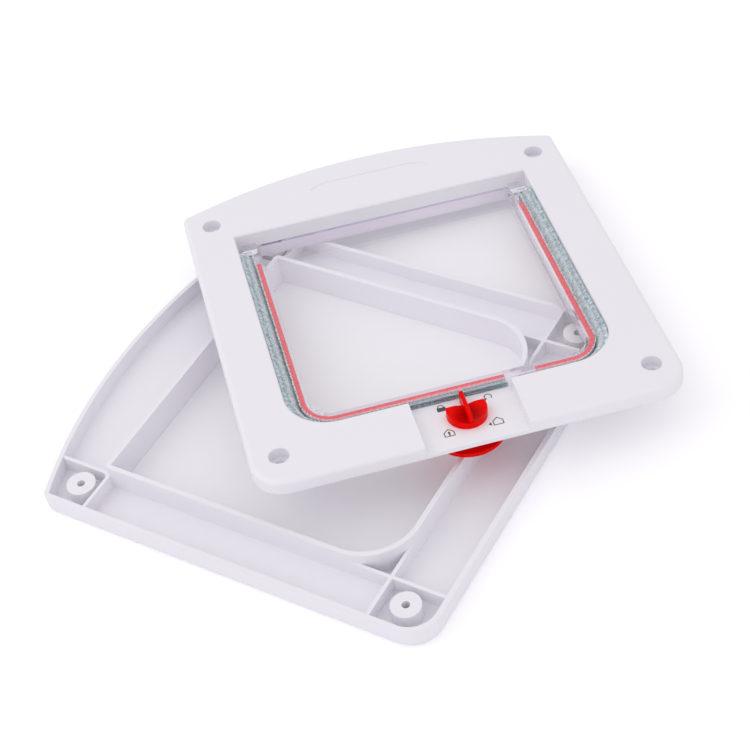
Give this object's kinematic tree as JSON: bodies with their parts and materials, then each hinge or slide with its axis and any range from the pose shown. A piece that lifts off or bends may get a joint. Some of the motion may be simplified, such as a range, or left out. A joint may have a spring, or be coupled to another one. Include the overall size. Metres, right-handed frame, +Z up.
{
  "type": "pet door",
  "caption": "Pet door kit: a frame with a short tunnel, a clear hinged flap, pile weather strips and a red turning lock, resting on its ribbed outer frame.",
  "frame": {"origin": "on the floor, under the middle of the whole object's box", "axes": "+Z up; +X across the outer frame's width; +Y towards the outer frame's arched head"},
  "size_m": [0.2876, 0.26, 0.0367],
  "materials": {
    "outer_frame_abs": "satin",
    "main_frame_abs": "satin",
    "clear_flap": "clear, polished",
    "pin_steel": "drawn",
    "strip_backing": "glossy",
    "strip_pile": "cut pile",
    "lock_red": "glossy",
    "screw_steel": "plated"
  },
  "bodies": {
    "frames": {"outer_frame": "outer_frame_abs", "main_frame": "main_frame_abs"},
    "flap": {"flap": "clear_flap", "hinge_pin_left": "pin_steel", "hinge_pin_right": "pin_steel", "strip_backing_left": "strip_backing", "strip_backing_right": "strip_backing", "strip_pile_left": "strip_pile", "strip_pile_right": "strip_pile"},
    "lock": {"lock_knob": "lock_red", "lock_cam": "lock_red", "lock_screw": "screw_steel"}
  },
  "joints": [
    {"name": "flap_hinge", "type": "hinge", "parent": "frames", "child": "flap", "pos_m": [0.05821, 0.04244, 0.01841], "axis": [-0.6885, 0.7234, 0.051], "range_deg": [0, 90]},
    {"name": "lock_turn", "type": "hinge", "parent": "frames", "child": "lock", "pos_m": [-0.0447, -0.05611, 0.02675], "axis": [0.0633, -0.0101, 0.9979], "range_deg": [-135, 135]}
  ]
}
